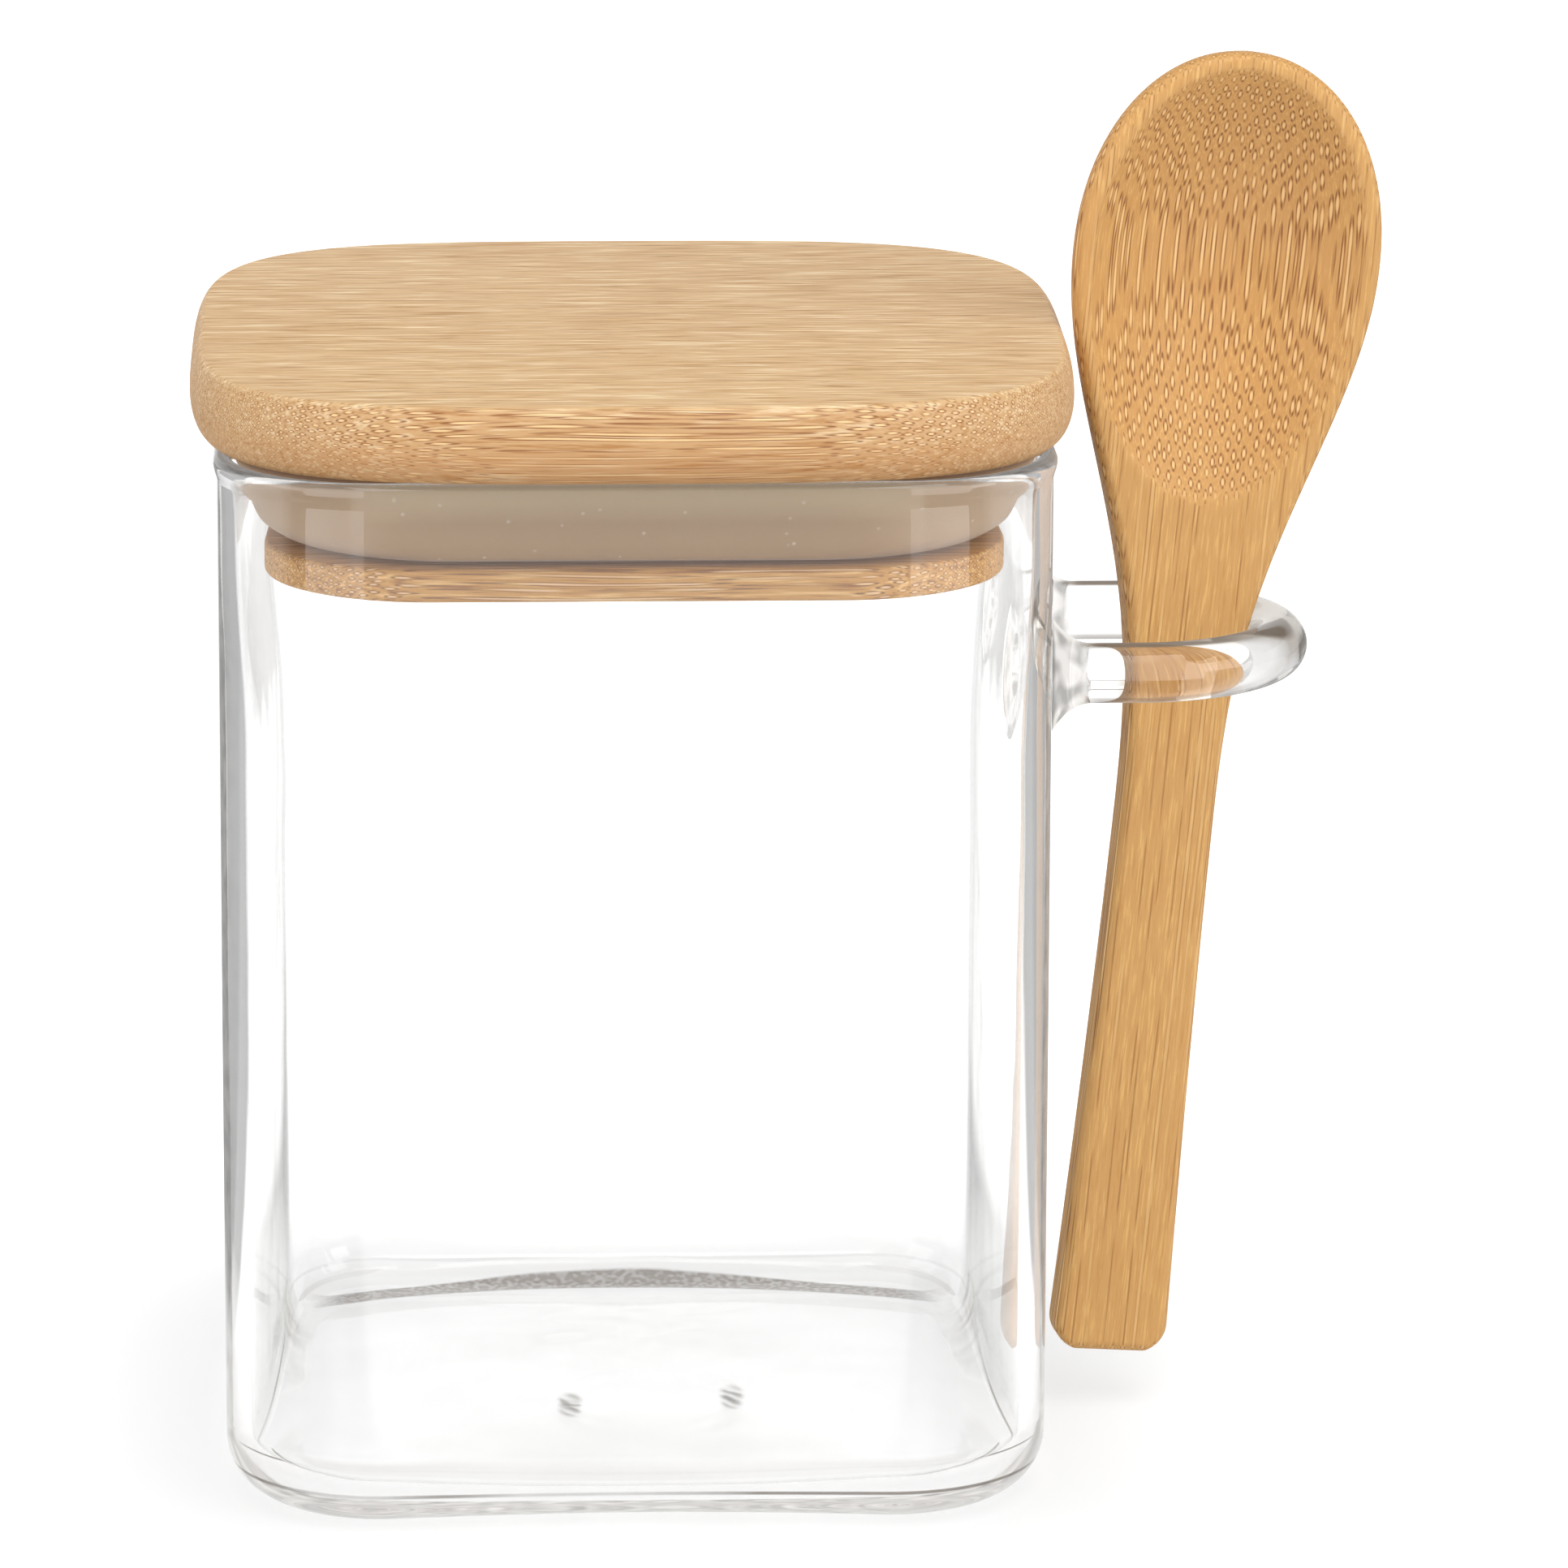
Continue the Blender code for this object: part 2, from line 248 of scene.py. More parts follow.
seen = add_node(tree, "AddShader", {0: seen_glow, 1: seen_white})
lit = add_node(tree, "BsdfDiffuse", {"Color": (bounced_white, bounced_white, bounced_white, 1)})
any_seen = combined(
    tree,
    "MAXIMUM",
    path.outputs["Is Camera Ray"],
    path.outputs["Is Transmission Ray"],
    path.outputs["Is Glossy Ray"],
)
table_mix = add_node(tree, "MixShader", {0: any_seen, 1: lit, 2: seen})
add_node(tree, "OutputMaterial", {"Surface": table_mix})

table = bmesh.new()
bmesh.ops.create_grid(table, x_segments=1, y_segments=1, size=table_size / 2)
bmesh.ops.translate(table, vec=(0, 0, -table_drop), verts=table.verts)
object_from(table, "table", table_board)

world = bpy.data.worlds.new("white_studio")
world.use_nodes = True
bpy.context.scene.world = world
tree = world.node_tree
tree.nodes.clear()
path, mirrored = mirrored_now(tree)
direction = add_node(tree, "TexCoord")
axes = add_node(tree, "SeparateXYZ", {0: direction.outputs["Generated"]})
height_bands = add_node(tree, "ValToRGB", {0: axes.outputs["Z"]}, stops=greys(dark_heights))
behind = add_node(tree, "MapRange", {"Value": axes.outputs["Y"], "From Max": 0.2})
diagonal = between_axes(tree, axes.outputs["X"], axes.outputs["Y"])
darker_way = combined(tree, "MAXIMUM", behind, diagonal)
dark_share = combined(tree, "MULTIPLY", height_bands, darker_way)
mirrored_level = add_node(
    tree, "MapRange", {"Value": dark_share, "To Min": mirrored_bright, "To Max": mirrored_dark}
)
from_table = add_node(
    tree, "Math", {0: path.outputs["Diffuse Depth"], 1: 0.5}, operation="GREATER_THAN"
)
through_level = add_node(tree, "Mix", {0: from_table, 2: white_through_glass, 3: studio_on_table})
seen_level = add_node(tree, "Mix", {0: mirrored, 2: through_level, 3: mirrored_level})
any_seen = combined(
    tree, "MAXIMUM", path.outputs["Is Glossy Ray"], path.outputs["Is Transmission Ray"]
)
lighting = add_node(tree, "Mix", {0: any_seen, 2: studio_light, 3: seen_level})
level = add_node(tree, "Mix", {0: path.outputs["Is Camera Ray"], 2: lighting, 3: plain_white})
mirrored_tone = combined(tree, "MULTIPLY", dark_share, mirrored)
studio_tone = add_node(
    tree, "Mix", {0: mirrored_tone, 6: linear("#ffffff"), 7: linear("#f6e6d8")}, data_type="RGBA"
)
background = add_node(tree, "Background", {"Color": studio_tone.outputs[2], "Strength": level})
add_node(tree, "OutputWorld", {"Surface": background})

# Two white strips stand before the jar, left and right. Only gloss sees them, as bright bands on glass.
soft_strip, tree = new_material("white_reflector_strip")
strip_glow = add_node(tree, "Emission", {"Color": linear("#ffffff"), "Strength": strip_strength})
add_node(tree, "OutputMaterial", {"Surface": strip_glow})
for side in (-1, 1):
    strip = bmesh.new()
    bmesh.ops.create_grid(strip, x_segments=1, y_segments=1, size=0.5)
    bmesh.ops.scale(strip, vec=(strip_width, strip_height, 1.0), verts=strip.verts)
    placed = Matrix.Rotation(side * strip_turn, 4, "Z")
    placed = placed @ Matrix.Translation((0, -strip_away, strip_middle))
    bmesh.ops.transform(strip, matrix=placed @ Matrix.Rotation(math.pi / 2, 4, "X"), verts=strip.verts)
    card = object_from(strip, "reflector_left" if side < 0 else "reflector_right", soft_strip)
    card.visible_camera = False
    card.visible_diffuse = False
    card.visible_shadow = False
    card.visible_transmission = False

# Three soft boxes light the wood: one from over the camera, one from the right and one from the left
for name, place, size, power in soft_boxes:
    lamp_data = bpy.data.lights.new(name, "AREA")
    lamp_data.shape = "SQUARE"
    lamp_data.size = size
    lamp_data.energy = power
    lamp = bpy.data.objects.new(name, lamp_data)
    lamp.location = place
    heading = Vector(soft_box_aim) - Vector(place)
    lamp.rotation_euler = heading.to_track_quat("-Z", "Y").to_euler()
    bpy.context.scene.collection.objects.link(lamp)


# Jar: clear borosilicate glass, blown in a square mould with thin walls, a fire-polished rim, a rounded
# heel and a base that is drawn up a little, with two shallow dents where the mould's valve stood.
jar_half = 0.04695
jar_height = 0.1216
jar_corner = 0.018
wall = 0.0019
base_thickness = 0.0032
heel_radius = 0.0070
heel_side_growth = 0.0020
inner_heel_radius = 0.0055
rim_flare = 0.0004
rim_flare_height = 0.0020
thicker_wall = 0.0028
thicker_from = 0.1105
thicker_full = 0.0840
base_draw_up = 0.0007
base_round = 0.040
floor_crown = 0.0003
valve_centre = Vector((0.0022, -0.0060))
valve_ring_radius = 0.0096
valve_ring_width = 0.0022
valve_ring_depth = 0.00010
round_centre = 0.020
base_cap = 0.0006


def turns(steps, start=0.0, end=math.pi / 2):
    """Angles from start to end."""
    return [start + (end - start) * step / steps for step in range(steps + 1)]


def rounded_square(half, corner, corner_steps=24, side_steps=24):
    """Points round a square with rounded corners, each with its outward normal and its side share.

    The side share is 0 on the corners and rises to 1 at the middle of a side.
    """
    straight = half - corner
    points = []
    for quarter in range(4):
        start = quarter * math.pi / 2
        centre = Vector((straight, straight)) if quarter % 2 == 0 else Vector((-straight, straight))
        if quarter > 1:
            centre = -centre
        for step in range(corner_steps + 1):
            angle = start + math.pi / 2 * step / corner_steps
            normal = Vector((math.cos(angle), math.sin(angle)))
            points.append((centre + corner * normal, normal, 0.0))
        along = Vector((-normal.y, normal.x))
        for step in range(1, side_steps):
            share = step / side_steps
            place = centre + corner * normal + along * (2 * straight * share)
            points.append((place, normal, math.sin(math.pi * share)))
    return points


def ring(plan, inset, height):
    """One level of a loft: the plan drawn in by an inset, which may be a function of the side share."""
    level = []
    for place, normal, side_share in plan:
        drawn = place - normal * (inset(side_share) if callable(inset) else inset)
        lifted = height(side_share) if callable(height) else height
        level.append(Vector((drawn.x, drawn.y, lifted)))
    return level


def lofted(rings, closed=False):
    """A bmesh whose skin joins the rings in order, capped at both ends or closed on itself."""
    mesh = bmesh.new()
    levels = [[mesh.verts.new(point) for point in level] for level in rings]
    pairs = list(zip(levels, levels[1:]))
    if closed:
        pairs.append((levels[-1], levels[0]))
    else:
        mesh.faces.new(list(reversed(levels[0])))
        mesh.faces.new(levels[-1])
    for lower, upper in pairs:
        for index in range(len(lower)):
            after = (index + 1) % len(lower)
            mesh.faces.new((lower[index], lower[after], upper[after], upper[index]))
    bmesh.ops.recalc_face_normals(mesh, faces=mesh.faces)
    return mesh


def base_rings(edge, height_at):
    """Levels from near the middle of the base out to its edge, round in the middle and square outside."""
    levels = []
    shares = [(max(base_cap, round_centre * step / 40), 0.0) for step in range(41)]
    shares += [(round_centre, step / 12) for step in range(1, 12)]
    for radius, blend in shares:
        level = []
        for point in edge:
            flat = Vector((point.x, point.y))
            place = (flat.normalized() * radius).lerp(flat, blend)
            height = height_at(place)
            level.append(Vector((place.x, place.y, height)))
        levels.append(level)
    return levels


def underside_height(place):
    """The base is drawn up towards its middle."""
    return base_draw_up * max(0.0, 1 - (place.length / base_round) ** 2) ** 2


def floor_height(place):
    """The inner floor is thickest in the middle; the mould's valve left two dents, to its left and right."""
    from_valve = place - valve_centre
    from_ring = abs(from_valve.length - valve_ring_radius) / valve_ring_width
    dent = 0.5 + 0.5 * math.cos(math.pi * from_ring) if from_ring < 1 else 0.0
    dent *= abs(from_valve.x / max(from_valve.length, 1e-6)) ** 3
    crown = floor_crown * max(0.0, 1 - (place.length / base_round) ** 2) ** 2
    return base_thickness + crown - valve_ring_depth * dent


plan = rounded_square(jar_half, jar_corner)
heel_rings = []
for angle in turns(14):
    heel_rings.append(
        ring(
            plan,
            lambda share, turn=angle: (heel_radius + heel_side_growth * share) * (1 - math.sin(turn)),
            lambda share, turn=angle: (heel_radius + heel_side_growth * share) * (1 - math.cos(turn)),
        )
    )
bead_radius = (wall + rim_flare) / 2
bead_inset = (wall - rim_flare) / 2
bead_height = jar_height - bead_radius
wall_rings = []
wall_low = heel_radius + heel_side_growth
wall_high = bead_height - rim_flare_height
for step in range(1, 45):
    wall_rings.append(ring(plan, 0.0, wall_low + (wall_high - wall_low) * step / 44))
for out, below in ((0.15, 0.75), (0.50, 0.50), (0.85, 0.25)):
    wall_rings.append(ring(plan, -out * rim_flare, bead_height - below * rim_flare_height))
rim_rings = []
for angle in turns(16, 0.0, math.pi):
    inset = bead_inset - bead_radius * math.cos(angle)
    rim_rings.append(ring(plan, inset, bead_height + bead_radius * math.sin(angle)))
inner_rings = []
inner_low = base_thickness + inner_heel_radius
for step in range(1, 44):
    height = bead_height + (inner_low - bead_height) * step / 44
    share = min(1.0, max(0.0, (thicker_from - height) / (thicker_from - thicker_full)))
    thicker = (1 - math.cos(math.pi * share)) / 2
    inner_rings.append(ring(plan, wall + (thicker_wall - wall) * thicker, height))
for angle in turns(12):
    inset = thicker_wall + inner_heel_radius * (1 - math.cos(angle))
    rise = inner_heel_radius * (1 - math.sin(angle))
    inner_rings.append(ring(plan, inset, base_thickness + rise))
underside_rings = base_rings(heel_rings[0], underside_height)
floor_rings = base_rings(inner_rings[-1], floor_height)
jar_mesh = lofted(
    underside_rings + heel_rings + wall_rings + rim_rings + inner_rings + floor_rings[::-1]
)


def between(tree, value, start, full, full_end, end):
    """0 outside start and end, 1 from full to full_end, and soft between them."""
    sides = []
    for none, all_of_it in ((start, full), (end, full_end)):
        span = {"Value": value, "From Min": none, "From Max": all_of_it}
        sides.append(add_node(tree, "MapRange", span, interpolation_type="SMOOTHSTEP"))
    return combined(tree, "MULTIPLY", *sides)


# Blown glass is colourless face on; its walls are a little wavy, by a few hundredths of a millimetre over a
# centimetre. Lamps shine through it, so that its shadow stays faint. Painted shade greys it along its edges,
# and a painted soft grey glow ends rays that the glass has thrown to and fro inside it. Painted dark marks
# stand for
# shade and dark refraction: an arc at the rear of the floor, a fine line at the heel, a contact shadow on
# the rim and two smudges by the valve dents. Painted grey lines edge the loop, painted shade warms it before
# the spoon and a painted mottled glow fills its welds. A band of four numbers says where its mark begins,
# where it is full, where it is still full and where it ends.
# Painted shade: a dark streaked arc at the rear of the floor, for the dark refraction seen there.
painted_arc_centre = (0.0, -0.0677, 0.0)
painted_arc_reach = (0.1059, 0.1064, 0.1096, 0.1101)
painted_arc_across = (-0.0415, -0.0340, 0.0340, 0.0415)
painted_arc_heights = (0.0026, 0.0029, 0.0055, 0.0062)
painted_arc_depths = (0.0, 0.01, 0.05, 0.06)
outer_skin_from = 0.0445
painted_heel_line_heights = (0.00395, 0.00420, 0.00445, 0.00465)
painted_smudge_places = ((-0.0072, -0.0075, 0.0), (0.0118, -0.0050, 0.0))
valve_squash = (1.0, 0.42, 1.0)
valve_reach = (-2.0, -1.0, 0.0009, 0.0018)
valve_heights = (-0.0010, -0.0005, 0.0060, 0.0070)
rim_heights = (jar_height - 0.0009, jar_height - 0.0003, 0.2, 0.3)
rim_share = 0.6
loop_low, loop_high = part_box("spoon_loop")
loop_height = (loop_low.z + loop_high.z) / 2
loop_from = jar_half + 0.004
loop_bend = (0.0745, 0.0790)
by_spoon_x = (0.0550, 0.0562, 0.0690, 0.0705)
by_spoon_y = (-0.0300, -0.0250, -0.0115, -0.0100)
rod_line_facing = (0.42, 0.52, 0.93, 0.99)
rod_line_x = (jar_half + 0.0045, jar_half + 0.0065, 0.0670, 0.0730)
rod_line_share = 0.8
weld_x = (jar_half + 0.0004, jar_half + 0.0010, jar_half + 0.0036, jar_half + 0.0052)
weld_share = 0.74
trapped_low = (0.008, 0.022)

blown_glass, tree = new_material("blown_borosilicate_glass")
here = add_node(tree, "TexCoord").outputs["Object"]
waves = add_node(tree, "TexNoise", {"Vector": here, "Scale": 70.0, "Detail": 1.0})
wavy = add_node(tree, "Bump", {"Height": waves, "Strength": 0.12, "Distance": 0.0004})
edge_on = add_node(tree, "LayerWeight", {"Blend": 0.5}).outputs["Facing"]
at_x, at_y, at_z = add_node(tree, "SeparateXYZ", {0: here}).outputs
flat_place, square_reach = flat_reach(tree, at_x, at_y)
from_arc_centre = add_node(
    tree, "VectorMath", {0: flat_place, 1: painted_arc_centre}, operation="DISTANCE"
)
painted_arc_streaks = add_node(tree, "TexNoise", {"Vector": here, "Scale": 1500.0, "Detail": 0.0})
streak_level = add_node(
    tree, "MapRange", {"Value": painted_arc_streaks, "From Min": 0.3, "From Max": 0.6, "To Min": 0.82}
)
painted_rear_arc = combined(
    tree,
    "MULTIPLY",
    between(tree, from_arc_centre.outputs["Value"], *painted_arc_reach),
    between(tree, at_x, *painted_arc_across),
    between(tree, at_z, *painted_arc_heights),
    between(tree, at_y, *painted_arc_depths),
    streak_level,
)
outer_skin = add_node(tree, "Math", {0: square_reach, 1: outer_skin_from}, operation="GREATER_THAN")
line_breaks = add_node(tree, "TexNoise", {"Vector": flat_place, "Scale": 55.0, "Detail": 0.0})
line_level = add_node(
    tree, "MapRange", {"Value": line_breaks, "From Min": 0.35, "From Max": 0.6, "To Min": 0.55}
)
fainter_behind = add_node(
    tree, "MapRange", {"Value": at_y, "From Max": 0.035, "To Min": 1.0, "To Max": 0.25}
)
# Painted shade: a thin dark line round the outer heel, for the dark refraction line there; fainter behind,
# broken by noise.
painted_heel_line = combined(
    tree,
    "MULTIPLY",
    fainter_behind,
    between(tree, at_z, *painted_heel_line_heights),
    outer_skin,
    line_level,
)
# Painted shade: two dark, streaked smudges in the base by the valve dents, for the shade they refract.
painted_smudges = []
for place in painted_smudge_places:
    from_mark = add_node(tree, "VectorMath", {0: flat_place, 1: place}, operation="SUBTRACT")
    squashed = add_node(tree, "VectorMath", {0: from_mark, 1: valve_squash}, operation="MULTIPLY")
    reach = add_node(tree, "VectorMath", {0: squashed}, operation="LENGTH")
    painted_smudges.append(between(tree, reach.outputs["Value"], *valve_reach))
marks = add_node(tree, "Math", {0: painted_smudges[0], 1: painted_smudges[1]})
mark_streaks = add_node(
    tree,
    "TexWave",
    {"Vector": here, "Scale": 200.0, "Distortion": 6.0, "Detail": 1.0},
    bands_direction="DIAGONAL",
)
mark_level = add_node(tree, "MapRange", {"Value": mark_streaks.outputs["Fac"], "To Min": 0.25})
in_base = between(tree, at_z, *valve_heights)
painted_valve_shade = combined(tree, "MULTIPLY", marks, mark_level, in_base)
# Painted contact shadow: the top of the rim, where the lid sits on it, is tinted dark.
rim_top = between(tree, at_z, *rim_heights)
painted_rim_shadow = combined(tree, "MULTIPLY", rim_top, rim_share)
# All the painted dark marks together: the rear arc, the heel line, the rim's contact shadow and the valve
# smudges.
lines = combined(tree, "MAXIMUM", painted_rear_arc, painted_heel_line, painted_rim_shadow, painted_valve_shade)
# Painted shade: the loop is tinted grey where it is seen edge on, more on its upper half, and grey at its
# bend.
edge_grey = add_node(tree, "MapRange", {"Value": edge_on, "From Min": 0.38, "From Max": 0.54})
upper_side = add_node(
    tree,
    "MapRange",
    {
        "Value": at_z,
        "From Min": loop_height - 0.001,
        "From Max": loop_height + 0.001,
        "To Min": 0.40,
        "To Max": 1.0,
    },
)
edge_level = combined(tree, "MULTIPLY", edge_grey, upper_side)
on_loop = add_node(tree, "Math", {0: at_x, 1: loop_from}, operation="GREATER_THAN")
bend_grey = add_node(
    tree,
    "MapRange",
    {"Value": at_x, "From Min": loop_bend[0], "From Max": loop_bend[1], "To Max": 0.42},
    interpolation_type="SMOOTHSTEP",
)
loop_grey = combined(tree, "MAXIMUM", edge_level, bend_grey)
painted_loop_shade = combined(tree, "MULTIPLY", loop_grey, on_loop)
# Painted shade: the walls are tinted grey where they are seen edge on.
painted_wall_grey = add_node(tree, "MapRange", {"Value": edge_on, "From Min": 0.60, "From Max": 0.95})
painted_edge_tint = add_node(
    tree, "Mix", {0: painted_wall_grey, 6: linear("#ffffff"), 7: linear("#c6cbc9")}, data_type="RGBA"
)
# Painted shade: where the loop's front leg passes before the spoon, the glass is tinted warm and a little
# darker.
painted_shade_before_spoon = combined(
    tree,
    "MULTIPLY",
    between(tree, at_x, *by_spoon_x),
    between(tree, at_y, *by_spoon_y),
)
tint_with_spoon_shade = add_node(
    tree, "Mix", {0: painted_shade_before_spoon, 6: painted_edge_tint.outputs[2], 7: linear("#efe8de")}, data_type="RGBA"
)
painted_loop_tint = add_node(
    tree, "Mix", {0: painted_loop_shade, 6: tint_with_spoon_shade.outputs[2], 7: linear("#8f8578")}, data_type="RGBA"
)
tint = add_node(
    tree, "Mix", {0: lines, 6: painted_loop_tint.outputs[2], 7: linear("#5c534b")}, data_type="RGBA"
)
glass_shader = add_node(
    tree,
    "BsdfPrincipled",
    {
        "Base Color": tint.outputs[2],
        "Roughness": 0.0,
        "IOR": 1.47,
        "Transmission Weight": 1.0,
        "Normal": wavy,
    },
)
# Painted glow: rays that the glass has thrown back several times end in a soft grey emission, mottled by
# noise, brighter low down and by the loop; the welds show the same painted mottled glow.
path = add_node(tree, "LightPath")
trapped = add_node(
    tree, "MapRange", {"Value": path.outputs["Glossy Depth"], "From Min": 1.0, "From Max": 4.0}
)
low_down = add_node(
    tree,
    "MapRange",
    {
        "Value": at_z,
        "From Min": trapped_low[0],
        "From Max": trapped_low[1],
        "To Min": 0.80,
        "To Max": 0.36,
    },
)
painted_glints = add_node(tree, "TexNoise", {"Vector": here, "Scale": 420.0, "Detail": 0.0})
painted_glint_level = add_node(
    tree,
    "MapRange",
    {"Value": painted_glints, "From Min": 0.35, "From Max": 0.62, "To Min": 0.55, "To Max": 1.1},
)
by_the_loop = add_node(
    tree,
    "MapRange",
    {"Value": at_x, "From Min": jar_half, "From Max": jar_half + 0.001, "To Max": 0.95},
)
grey_level = combined(tree, "MAXIMUM", low_down, by_the_loop)
trapped_level = combined(tree, "MULTIPLY", grey_level, painted_glint_level)
painted_trapped_glow = add_node(tree, "Emission", {"Color": linear("#fffcf8"), "Strength": trapped_level})
on_weld = between(tree, at_x, *weld_x)
painted_weld_glow = combined(tree, "MULTIPLY", on_weld, weld_share)
glow_share = combined(tree, "MAXIMUM", trapped, painted_weld_glow)
glass_or_glow = add_node(tree, "MixShader", {0: glow_share, 1: glass_shader, 2: painted_trapped_glow})
# Painted shade: a fixed grey emission draws a line along the loop's upper side where it is seen edge on.
rod_line = combined(
    tree,
    "MULTIPLY",
    between(tree, edge_on, *rod_line_facing),
    between(tree, at_x, *rod_line_x),
    upper_side,
    rod_line_share,
)
painted_rod_line_grey = add_node(tree, "Emission", {"Color": linear("#7c7064"), "Strength": 1.0})
glass_seen = add_node(tree, "MixShader", {0: rod_line, 1: glass_or_glow, 2: painted_rod_line_grey})
shade_line = add_node(tree, "MapRange", {"Value": edge_on, "From Min": 0.4, "From Max": 1.0})
lamp_tint = add_node(
    tree, "Mix", {0: shade_line, 6: linear("#f6f8f8"), 7: linear("#8b9190")}, data_type="RGBA"
)
lamp_through = add_node(tree, "BsdfTransparent", {"Color": lamp_tint.outputs[2]})
glass_mix = add_node(
    tree, "MixShader", {0: path.outputs["Is Shadow Ray"], 1: glass_seen, 2: lamp_through}
)
add_node(tree, "OutputMaterial", {"Surface": glass_mix})

jar_glass = object_from(jar_mesh, "jar_glass", blown_glass)


# Spoon loop: a rod of the same glass, bent to a U in the flame. Its two ends were melted on to the wall,
# where they spread out like the mouth of a trumpet.
rod_radius = 0.00345
loop_half_width = 0.0160
loop_bend_length = 0.0172
weld_radius = 0.0080
weld_length = 0.0056
weld_depth = 0.0009
weld_spread_power = 2.2
loop_bend_x = loop_high.x - rod_radius - loop_bend_length

loop_stops = []
for step in range(-2, 21):
    distance = weld_depth * step / 2 if step < 0 else weld_length * step / 20
    loop_stops.append((jar_half + distance, distance))
loop_stops.append((loop_bend_x, weld_length))
loop_path = [(Vector((x, -loop_half_width, 0)), Vector((1, 0, 0)), near) for x, near in loop_stops]
for angle in turns(60, -math.pi / 2, math.pi / 2)[1:-1]:
    place = Vector((loop_bend_x + loop_bend_length * math.cos(angle), loop_half_width * math.sin(angle), 0))
    along = Vector((-loop_bend_length * math.sin(angle), loop_half_width * math.cos(angle), 0))
    loop_path.append((place, along.normalized(), weld_length))
for x, near in reversed(loop_stops):
    loop_path.append((Vector((x, loop_half_width, 0)), Vector((-1, 0, 0)), near))
loop_rings = []
for place, heading, near in loop_path:
    spread = (1 - min(1.0, max(0.0, near) / weld_length)) ** weld_spread_power
    radius = rod_radius + (weld_radius - rod_radius) * spread
    sideways = Vector((heading.y, -heading.x, 0))
    level = []
    for angle in turns(40, 0.0, 2 * math.pi)[:-1]:
        out = sideways * math.cos(angle) + Vector((0, 0, 1)) * math.sin(angle)
        level.append(place + out * radius + Vector((0, 0, loop_height)))
    loop_rings.append(level)
loop_rod = object_from(lofted(loop_rings), "loop_rod", blown_glass)

melt = jar_glass.modifiers.new("melt_on", "BOOLEAN")
melt.operation = "UNION"
melt.solver = "EXACT"
melt.object = loop_rod
bpy.context.view_layer.update()
fused = bpy.data.meshes.new_from_object(jar_glass.evaluated_get(bpy.context.evaluated_depsgraph_get()))
jar_glass.modifiers.clear()
jar_glass.data = fused
bpy.data.objects.remove(loop_rod)
fused.shade_smooth()
fused.set_sharp_from_angle(angle=math.radians(24))
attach(jar_glass, "jar")
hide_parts("jar_body", "spoon_loop")


# Lid board: one piece of pressed bamboo, sawn to a soft square, with its edge sanded to a bulge, and
# oiled. It rests on the jar's rim, and its fibres run from left to right.
lid_half = 0.05025
lid_seat = 0.1219
lid_thickness = 0.0087
lid_plan_power = 3.67
lid_widest_height = 0.0035
lid_inset = 0.0017
ring_stops = ((0.17, 0), (0.25, 1), (0.33, 1), (0.42, 0))
heart_reach = (0.21, 0.12)
wander_steps = (5.0, 34.0)
fading_step = 11.0
broad_steps = (3.5, 60.0)
fibre_places = (0.34, 0.46, 0.55, 0.68)
painted_veil_share = 0.5
painted_veil_light = 0.85


def soft_square(half, power, steps=240):
    """Points round a superellipse, in the form that rounded_square gives."""
    points = []
    for step in range(steps):
        angle = 2 * math.pi * step / steps
        across, along = math.cos(angle), math.sin(angle)
        reach = half * (abs(across) ** power + abs(along) ** power) ** (-1 / power)
        slope = Vector((math.copysign(abs(across) ** (power - 1), across), 0))
        slope.y = math.copysign(abs(along) ** (power - 1), along)
        points.append((Vector((across, along)) * reach, slope.normalized(), 0.0))
    return points


plan = soft_square(lid_half, lid_plan_power)
lid_rings = []
for angle in turns(14):
    inset = lid_inset * (1 - math.sin(angle))
    lid_rings.append(ring(plan, inset, lid_seat + lid_widest_height * (1 - math.cos(angle))))
for angle in turns(14)[1:]:
    inset = lid_inset * (1 - math.cos(angle))
    above = (lid_thickness - lid_widest_height) * math.sin(angle)
    lid_rings.append(ring(plan, inset, lid_seat + lid_widest_height + above))


